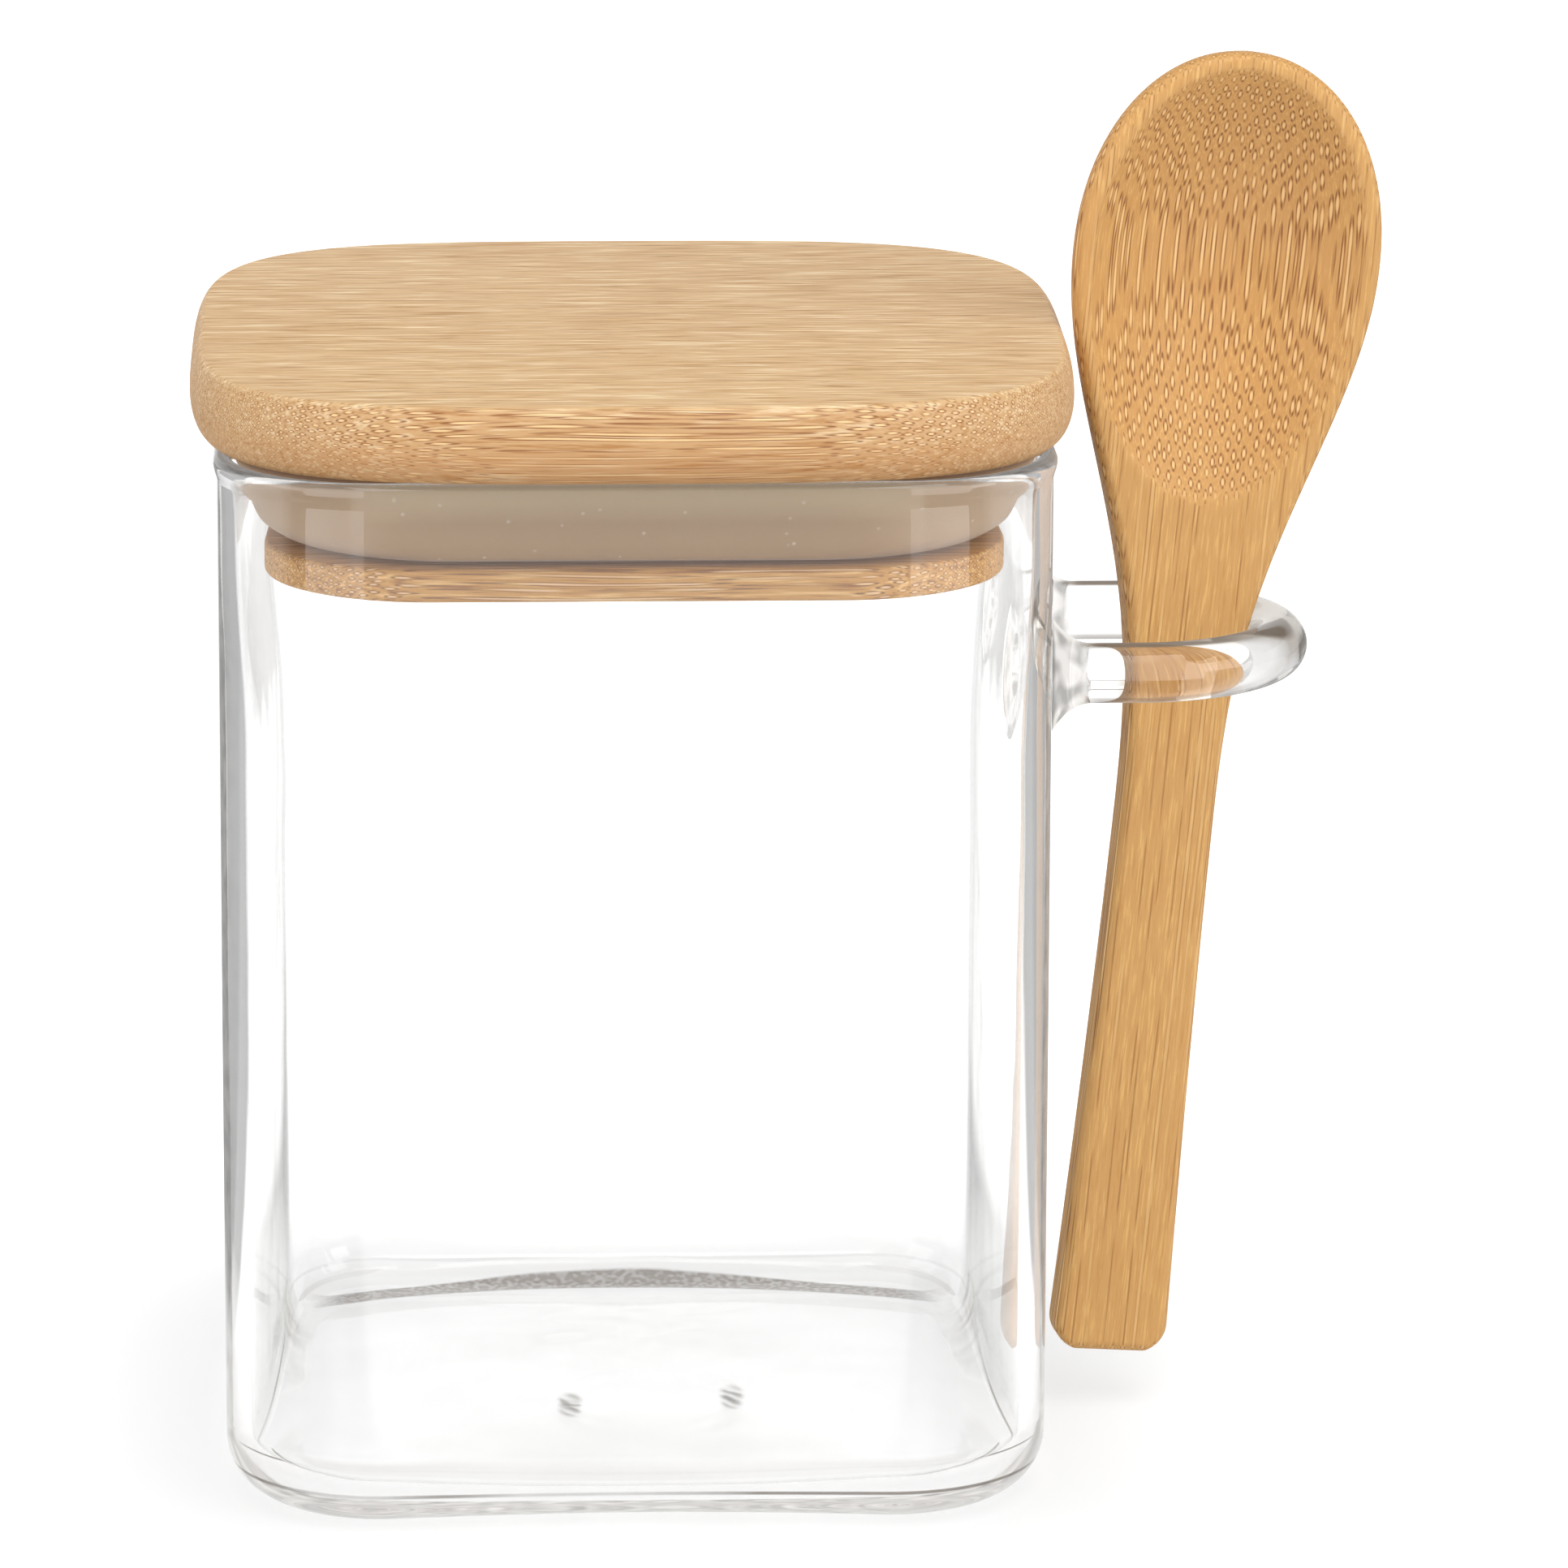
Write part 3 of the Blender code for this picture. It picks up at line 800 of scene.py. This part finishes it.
def bamboo(name, along, bundle_gap, wander_by, layers, pale, ground, deep, deepest, bundle, heart, fibre):
    """Oiled bamboo, cut through its fibre bundles: rings where they are cut across, streaks along them.

    along is the axis that the fibres run in; bundle_gap, wander_by and fibre are in millimetres. The
    layers say how dark the bundles and how deep the ground is, by the place on the last other axis, in
    millimetres too.
    """
    made, tree = new_material(name)
    here = add_node(tree, "TexCoord").outputs["Object"]
    millimetres = add_node(tree, "VectorMath", {0: here, "Scale": 1000.0}, operation="SCALE")
    parts = add_node(tree, "SeparateXYZ", {0: millimetres})
    across = [axis for axis in "XYZ" if axis != along]
    turned = add_node(
        tree,
        "CombineXYZ",
        {"X": parts.outputs[across[0]], "Y": parts.outputs[across[1]], "Z": parts.outputs[along]},
    )

    def steps_of(source, wide, long):
        """Coordinates that count in steps of so many millimetres across and along the fibre."""
        scale = (1 / wide, 1 / wide, 1 / long)
        return add_node(tree, "VectorMath", {0: source, 1: scale}, operation="MULTIPLY")

    # The bundles wander a little, together with their neighbours, so that a flat cut leaves and meets them
    wander = add_node(
        tree, "TexNoise", {"Vector": steps_of(turned, *wander_steps), "Scale": 1.0, "Detail": 1.5}
    )
    wander_centred = add_node(
        tree, "VectorMath", {0: wander.outputs["Color"], 1: (0.5, 0.5, 0.5)}, operation="SUBTRACT"
    )
    wander_size = add_node(
        tree, "VectorMath", {0: wander_centred, "Scale": wander_by}, operation="SCALE"
    )
    bent = add_node(tree, "VectorMath", {0: turned, 1: wander_size})

    # They stand in staggered rows: a square grid, turned by half a right angle
    staggered = add_node(
        tree,
        "VectorRotate",
        {"Vector": steps_of(bent, bundle_gap, 1.0), "Angle": math.pi / 4},
        rotation_type="Z_AXIS",
    )
    cells = add_node(
        tree,
        "TexVoronoi",
        {"Vector": staggered, "Scale": 1.0, "Randomness": 0.35},
        voronoi_dimensions="2D",
    )
    sheath = add_node(tree, "ValToRGB", {0: cells.outputs["Distance"]}, stops=greys(ring_stops))
    inside = add_node(
        tree,
        "MapRange",
        {
            "Value": cells.outputs["Distance"],
            "From Min": heart_reach[0],
            "From Max": heart_reach[1],
        },
    )

    # Each ring is four caps of fibre round a pale core, darkest above, below and at either side
    from_centre = add_node(
        tree, "VectorMath", {0: staggered, 1: cells.outputs["Position"]}, operation="SUBTRACT"
    )
    centre_parts = add_node(tree, "SeparateXYZ", {0: from_centre})
    round_it = add_node(
        tree, "Math", {0: centre_parts.outputs["Y"], 1: centre_parts.outputs["X"]}, operation="ARCTAN2"
    )
    four_times = combined(tree, "MULTIPLY", round_it, 4.0)
    caps = add_node(tree, "Math", {0: four_times}, operation="COSINE")
    cap_level = add_node(
        tree, "MapRange", {"Value": caps, "From Min": 1.0, "From Max": -1.0, "To Min": 0.45}
    )
    cell_tone = add_node(tree, "SeparateColor", {0: cells.outputs["Color"]})
    own_place = combined(tree, "MULTIPLY", cell_tone.outputs[1], 60.0)
    own_axis = add_node(tree, "SeparateXYZ", {0: steps_of(bent, 1.0, fading_step)})
    own_along = add_node(tree, "Math", {0: own_axis.outputs["Z"], 1: own_place})
    strength = add_node(
        tree, "TexNoise", {"W": own_along, "Scale": 1.0, "Detail": 1.0}, noise_dimensions="1D"
    )
    strength_level = add_node(
        tree, "MapRange", {"Value": strength, "From Min": 0.34, "From Max": 0.50, "To Min": 0.60}
    )
    bundle_dark = combined(tree, "MULTIPLY", sheath, cap_level, strength_level)
    first, last = layers[0][0], layers[-1][0]
    layer_place = add_node(
        tree, "MapRange", {"Value": parts.outputs[across[1]], "From Min": first, "From Max": last}
    )
    shares = [(place - first) / (last - first) for place, _, _ in layers]
    level_stops = greys(zip(shares, (level for _, level, _ in layers)))
    depth_stops = greys(zip(shares, (depth for _, _, depth in layers)))
    layer_level = add_node(tree, "ValToRGB", {0: layer_place}, stops=level_stops)
    ground_depth = add_node(tree, "ValToRGB", {0: layer_place}, stops=depth_stops)
    # Where a layer is weak only its strongest bundles show, and a cut straight across is paler than a slant
    weakest_seen = add_node(tree, "Math", {0: 1.1, 1: layer_level}, operation="SUBTRACT")
    outside = add_node(tree, "NewGeometry")
    facing_parts = add_node(tree, "SeparateXYZ", {0: outside.outputs["Normal"]})
    along_face = add_node(tree, "Math", {0: facing_parts.outputs[along]}, operation="ABSOLUTE")
    end_grain = add_node(
        tree,
        "MapRange",
        {"Value": along_face, "From Min": 0.35, "From Max": 0.8, "To Min": 1.0, "To Max": 0.75},
    )
    seen_level = combined(tree, "MULTIPLY", layer_level, end_grain)
    bundle_mix = add_node(
        tree, "MapRange", {"Value": bundle_dark, "From Min": weakest_seen, "To Max": seen_level}
    )
    heart_mix = combined(tree, "MULTIPLY", inside, seen_level, layer_level)
    fibres = add_node(
        tree,
        "TexNoise",
        {"Vector": steps_of(bent, fibre, 20 * fibre), "Scale": 1.0, "Detail": 3.0, "Roughness": 0.6},
    )
    broad = add_node(
        tree, "TexNoise", {"Vector": steps_of(bent, *broad_steps), "Scale": 1.0, "Detail": 2.0}
    )
    broad_level = add_node(
        tree,
        "MapRange",
        {"Value": broad, "From Min": 0.32, "From Max": 0.68, "To Min": -0.02, "To Max": 0.02},
    )
    fibre_place = add_node(tree, "Math", {0: fibres, 1: broad_level})
    tones = zip(fibre_places, (pale, ground, ground, deep))
    fibre_tone = add_node(
        tree, "ValToRGB", {0: fibre_place}, stops=[(place, linear(tone)) for place, tone in tones]
    )
    depth_share = combined(tree, "MULTIPLY", ground_depth, end_grain)
    layered = add_node(
        tree, "Mix", {0: depth_share, 6: fibre_tone, 7: linear(deepest)}, data_type="RGBA"
    )
    with_hearts = add_node(
        tree, "Mix", {0: heart_mix, 6: layered.outputs[2], 7: linear(heart)}, data_type="RGBA"
    )
    colour = add_node(
        tree, "Mix", {0: bundle_mix, 6: with_hearts.outputs[2], 7: linear(bundle)}, data_type="RGBA"
    )
    roughness = add_node(tree, "MapRange", {"Value": fibres, "To Min": 0.44, "To Max": 0.64})
    relief = add_node(tree, "Math", {0: fibres, 1: bundle_dark}, operation="SUBTRACT")
    grain = add_node(tree, "Bump", {"Height": relief, "Strength": 0.5, "Distance": 0.00005})
    surface = add_node(
        tree,
        "BsdfPrincipled",
        {
            "Base Color": colour.outputs[2],
            "Roughness": roughness,
            "IOR": 1.5,
            "Normal": grain,
        },
    )
    # Painted reflection: where glass has thrown the ray back, half of it is an even pale glow, so behind
    # several walls of glass its colour pales
    paled = combined(tree, "MULTIPLY", mirrored_now(tree)[1], painted_veil_share)
    painted_veil = add_node(tree, "Emission", {"Color": linear("#ffffff"), "Strength": painted_veil_light})
    seen = add_node(tree, "MixShader", {0: paled, 1: surface, 2: painted_veil})
    add_node(tree, "OutputMaterial", {"Surface": seen})
    return made


# Sanded, oiled bamboo: a pale straw ground with fine level streaks, and dots where the corners cut the
# fibres across. Its bundles lie 0.85 mm apart in staggered rows, and each ring is 0.5 mm across.
board_bamboo = bamboo(
    "sanded_oiled_bamboo_board",
    along="X",
    bundle_gap=0.60,
    wander_by=1.4,
    pale="#f0d8ae",
    ground="#d5af7e",
    deep="#b08049",
    deepest="#b0763a",
    bundle="#7f450e",
    heart="#f3cc93",
    # Low on the board's edge the ground is deepest and the bundles faint: painted shade on its
    # downward-facing lower half. Higher up the edge the ground is less deep, and the top face keeps the pale
    # ground.
    layers=(
        (121.9, 0.60, 0.62),
        (124.9, 0.60, 0.60),
        (126.6, 0.95, 0.38),
        (129.9, 0.95, 0.34),
        (130.4, 0.65, 0.0),
        (130.6, 0.65, 0.0),
    ),
    fibre=0.45,
)
lid_board = object_from(lofted(lid_rings), "lid_board_bamboo", board_bamboo, fold=math.radians(50))
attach(lid_board, "lid")
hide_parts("lid_board")


# Lid plug: a second piece of bamboo, turned under to a flange and a neck, and glued beneath the board.
# The seal sits in the groove between them.
plug_flange_half = 0.04205
plug_low = 0.10715
plug_flange_thickness = 0.00375
plug_corner = 0.019
plug_neck_setback = 0.0065
plug_edge_round = 0.0006
plug_glue_gap = 0.0003

plan = rounded_square(plug_flange_half, plug_corner, 32, 12)
plug_rings = []
for angle in turns(6):
    inset = plug_edge_round * (1 - math.sin(angle))
    plug_rings.append(ring(plan, inset, plug_low + plug_edge_round * (1 - math.cos(angle))))
plug_flange_top = plug_low + plug_flange_thickness
for angle in turns(6):
    inset = plug_edge_round * (1 - math.cos(angle))
    plug_rings.append(ring(plan, inset, plug_flange_top - plug_edge_round * (1 - math.sin(angle))))
plug_rings.append(ring(plan, plug_neck_setback, plug_flange_top))
plug_rings.append(ring(plan, plug_neck_setback, lid_seat - plug_glue_gap))
# Milled bamboo, darker than the board: level streaks on its front and dots at its corners. Its bundles
# lie 0.9 mm apart in staggered rows.
plug_bamboo = bamboo(
    "milled_bamboo_plug",
    along="X",
    bundle_gap=0.65,
    wander_by=1.4,
    pale="#ecc283",
    ground="#cd9853",
    deep="#a0682c",
    deepest="#b87f40",
    bundle="#7d4f27",
    heart="#e6c39c",
    layers=((107.1, 0.9, 0.15), (110.9, 0.9, 0.15)),
    fibre=0.5,
)
lid_plug = object_from(lofted(plug_rings), "lid_plug_bamboo", plug_bamboo, fold=math.radians(50))
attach(lid_plug, "lid")
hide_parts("lid_plug")


# Seal: a ring of soft silicone, moulded, stretched round the plug's neck. Its outer face flares from a
# foot on the flange up to a thin lip that wipes the glass.
seal_low = 0.1112
seal_high = 0.1216
seal_lip_half = 0.04475
seal_lip_corner = 0.0158
seal_overhang = 0.0033
seal_foot_corner = 0.0215
seal_neck_half = 0.03585
seal_neck_corner = 0.0128
seal_face_rise = (0.0, 0.02, 0.05, 0.09, 0.19, 0.30, 0.48, 0.68, 0.85, 0.93, 0.97, 1.0)
seal_face_inset = (1.85, 1.50, 1.20, 1.0, 0.74, 0.59, 0.44, 0.26, 0.10, 0.0, 0.03, 0.2)
dust_distance = (0.05, 0.12)
dust_share = 0.55


def eased(points, parts):
    """The same run of points with more between them, on a smooth curve through them."""
    fuller = []
    for index in range(len(points) - 1):
        before = Vector(points[max(0, index - 1)])
        here = Vector(points[index])
        after = Vector(points[index + 1])
        beyond = Vector(points[min(len(points) - 1, index + 2)])
        for part in range(parts):
            share = part / parts
            bow = (2 * before - 5 * here + 4 * after - beyond) * share**2
            bow += (3 * here - before - 3 * after + beyond) * share**3
            fuller.append(here + (after - before) * share / 2 + bow / 2)
    fuller.append(Vector(points[-1]))
    return fuller


lip_plan = rounded_square(seal_lip_half, seal_lip_corner, 32, 12)
foot_plan = rounded_square(seal_lip_half - seal_overhang, seal_foot_corner, 32, 12)
neck_plan = rounded_square(seal_neck_half, seal_neck_corner, 32, 12)
seal_rings = [ring(neck_plan, 0.0, seal_low)]
for rise, inset in eased(list(zip(seal_face_rise, seal_face_inset)), 3):
    height = seal_low + (seal_high - seal_low) * min(1.0, rise)
    level = []
    for at_lip, at_foot in zip(ring(lip_plan, 0.0, height), ring(foot_plan, 0.0, height)):
        level.append(at_lip.lerp(at_foot, min(1.0, max(0.0, inset))))
    if inset > 1:
        level = ring(foot_plan, seal_overhang * (inset - 1), height)
    seal_rings.append(level)
seal_rings.append(ring(neck_plan, 0.0, seal_high))

# Silicone is milky: light sinks in by a millimetre or two, so its shading is soft, and its skin has a
# dull sheen. Fine dust sticks to it as pale specks, a third of a millimetre wide.
milky_silicone, tree = new_material("moulded_milky_silicone")
here = add_node(tree, "TexCoord").outputs["Object"]
clouds = add_node(tree, "TexNoise", {"Vector": here, "Scale": 45.0, "Detail": 2.0})
specks = add_node(tree, "TexVoronoi", {"Vector": here, "Scale": 420.0, "Randomness": 1.0})
dust = add_node(
    tree,
    "MapRange",
    {
        "Value": specks.outputs["Distance"],
        "From Min": dust_distance[0],
        "From Max": dust_distance[1],
        "To Min": dust_share,
        "To Max": 0.0,
    },
)
# Painted light: the silicone is paler up its lip and at its corners, for light reflected in the glass in
# front; lower down its front is darker.
at_x, at_y, at_z = add_node(tree, "SeparateXYZ", {0: here}).outputs
from_middle = add_node(tree, "Math", {0: at_x}, operation="ABSOLUTE")
painted_corner_light = add_node(
    tree,
    "MapRange",
    {"Value": from_middle, "From Min": 0.024, "From Max": 0.036},
    interpolation_type="SMOOTHSTEP",
)
painted_light_up_lip = add_node(tree, "MapRange", {"Value": at_z, "From Min": 0.1165, "From Max": 0.1195})
front_with_painted_light = add_node(
    tree, "Mix", {0: painted_light_up_lip, 6: linear("#a78865"), 7: linear("#c1a884")}, data_type="RGBA"
)
body = add_node(
    tree, "Mix", {0: painted_corner_light, 6: front_with_painted_light.outputs[2], 7: linear("#b4987b")}, data_type="RGBA"
)
dusty = add_node(tree, "Mix", {0: dust, 6: body.outputs[2], 7: linear("#d8cabb")}, data_type="RGBA")
silicone_gloss = add_node(tree, "MapRange", {"Value": clouds, "To Min": 0.34, "To Max": 0.48})
surface = add_node(
    tree,
    "BsdfPrincipled",
    {
        "Base Color": dusty.outputs[2],
        "Roughness": silicone_gloss,
        "IOR": 1.41,
        "Subsurface Weight": 0.35,
        "Subsurface Radius": (1.0, 0.8, 0.65),
        "Subsurface Scale": 0.0015,
    },
)
add_node(tree, "OutputMaterial", {"Surface": surface})
seal = object_from(lofted(seal_rings, closed=True), "seal_silicone", milky_silicone, fold=math.radians(50))
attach(seal, "lid")
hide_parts("seal_ring")


# Spoon: carved from one strip of bamboo, with a hollow scoop, a rounded back that runs into the handle,
# and softened edges. It hangs in the loop by the place where its bowl widens.
bowl_half = 0.0180
bowl_tip_length = 0.0240
bowl_tip_start = 0.05
bowl_tip_power = 2.1
bowl_neck_length = 0.0660
neck_ease_power = 1.35
neck_half_width = 0.0056
handle_end_half_width = 0.00685
handle_growth_power = 1.5
handle_thickness = 0.0055
handle_end_round = 0.0035
spoon_edge_round = 0.0013
scoop_depth = 0.0072
scoop_rim = 0.0017
scoop_length = 0.0508
bowl_edge_thickness = 0.0033
bowl_wall = 0.0028
keel_length = 0.0640
spoon_rise = 0.0695
spoon_foot_clearance = 0.0071
spoon_lid_gap = 0.00035
spoon_lean = math.radians(5.34)
spoon_turn = math.radians(8.0)
neck_station = bowl_tip_length + bowl_neck_length
spoon_length = spoon_rise + (loop_height - spoon_foot_clearance) / math.cos(spoon_lean)
spoon_x = lid_half + spoon_lid_gap + bowl_half * math.cos(spoon_turn) * math.cos(spoon_lean)
spoon_x -= (spoon_rise - bowl_tip_length) * math.sin(spoon_lean)


def spoon_half_width(station):
    """Half the spoon's width at a distance from its tip."""
    if station <= bowl_tip_length:
        left = 1 - station / bowl_tip_length
        return bowl_half * (1 - left**bowl_tip_power) ** (1 / bowl_tip_power)
    if station <= neck_station:
        share = (station - bowl_tip_length) / bowl_neck_length
        turn = 1 - (1 - share) ** neck_ease_power
        return neck_half_width + (bowl_half - neck_half_width) * (1 + math.cos(math.pi * turn)) / 2
    share = (station - neck_station) / (spoon_length - neck_station)
    half = neck_half_width + (handle_end_half_width - neck_half_width) * share**handle_growth_power
    missing = max(0.0, handle_end_round - (spoon_length - station))
    return half - handle_end_round + math.sqrt(handle_end_round**2 - missing**2)


def edge_round_drop(edge_distance):
    """How far a face has curved away at a distance in from the spoon's outline."""
    missing = max(0.0, spoon_edge_round - max(0.0, edge_distance))
    return spoon_edge_round - math.sqrt(spoon_edge_round**2 - missing**2)


def scoop_drop(station, across):
    """Depth of the scoop below the spoon's flat front face."""
    near = bowl_tip_length - scoop_rim
    far = scoop_length - near
    along = (station - bowl_tip_length) / (near if station < bowl_tip_length else far)
    return scoop_depth * max(0.0, 1 - along**2 - (across / (bowl_half - scoop_rim)) ** 2)


def back_depth(station, across_share):
    """Depth of the spoon's back face behind its flat front face."""
    if station < bowl_tip_length:
        swell = 1 - (1 - station / bowl_tip_length) ** 2
        edge = bowl_edge_thickness
    else:
        turn = min(1.0, (station - bowl_tip_length) / (keel_length - bowl_tip_length))
        swell = (1 + math.cos(math.pi * turn)) / 2
        edge = handle_thickness + (bowl_edge_thickness - handle_thickness) * swell
    keel = scoop_depth + bowl_wall - bowl_edge_thickness
    return edge + keel * swell * (1 - across_share**2)


def spoon_section(station, front_steps=64, back_steps=32):
    """One cross-section of the spoon, left to right over the front and back over the rear."""
    half = spoon_half_width(station)
    step = spoon_edge_round / 10
    slope = 0.0
    if station + step < spoon_length - handle_end_round:
        slope = (spoon_half_width(station + step) - half) / step
    stretch = math.sqrt(1 + slope**2)
    level = []
    for steps, side in ((front_steps, -1), (back_steps, 1)):
        for angle in turns(steps, side * math.pi / 2, -side * math.pi / 2):
            across = half * math.sin(angle)
            edge_distance = min((half - abs(across)) / stretch, spoon_length - station)
            drop = edge_round_drop(edge_distance)
            if side < 0:
                depth = max(drop, scoop_drop(station, across))
            else:
                depth = back_depth(station, math.sin(angle)) - drop
            level.append(Vector((across, depth - handle_thickness / 2, spoon_rise - station)))
    return level


stations = [bowl_tip_length * (1 - math.cos(angle)) for angle in turns(36, bowl_tip_start)]
stations += [bowl_tip_length + bowl_neck_length * step / 66 for step in range(1, 67)]
straight_end = spoon_length - handle_end_round
stations += [neck_station + (straight_end - neck_station) * step / 16 for step in range(1, 17)]
stations += [straight_end + handle_end_round * math.sin(angle) for angle in turns(12)[1:]]
spoon_mesh = lofted([spoon_section(station) for station in stations])
# Carved, oiled bamboo of a warmer colour: the scoop cuts its bundles at a slant, so that they show as
# rings at either end, 0.75 mm across and 1.3 mm apart in staggered rows, and as long dark flames between.
spoon_bamboo = bamboo(
    "carved_oiled_bamboo_spoon",
    along="Z",
    bundle_gap=0.9,
    wander_by=0.6,
    pale="#deae66",
    ground="#cd9a58",
    deep="#c6904b",
    deepest="#bf8440",
    bundle="#7f450d",
    heart="#f0c88b",
    layers=((-2.8, 0.55, 0.0), (-2.6, 0.55, 0.0), (-1.9, 0.95, 0.1), (5.0, 0.95, 0.2)),
    fibre=0.24,
)
spoon = object_from(spoon_mesh, "spoon_bamboo", spoon_bamboo, fold=math.radians(50))
spoon.rotation_mode = "ZYX"
spoon.rotation_euler = (0.0, spoon_lean, spoon_turn)
spoon.location = (spoon_x, 0.0, loop_height)
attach(spoon, "spoon")
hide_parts("spoon")
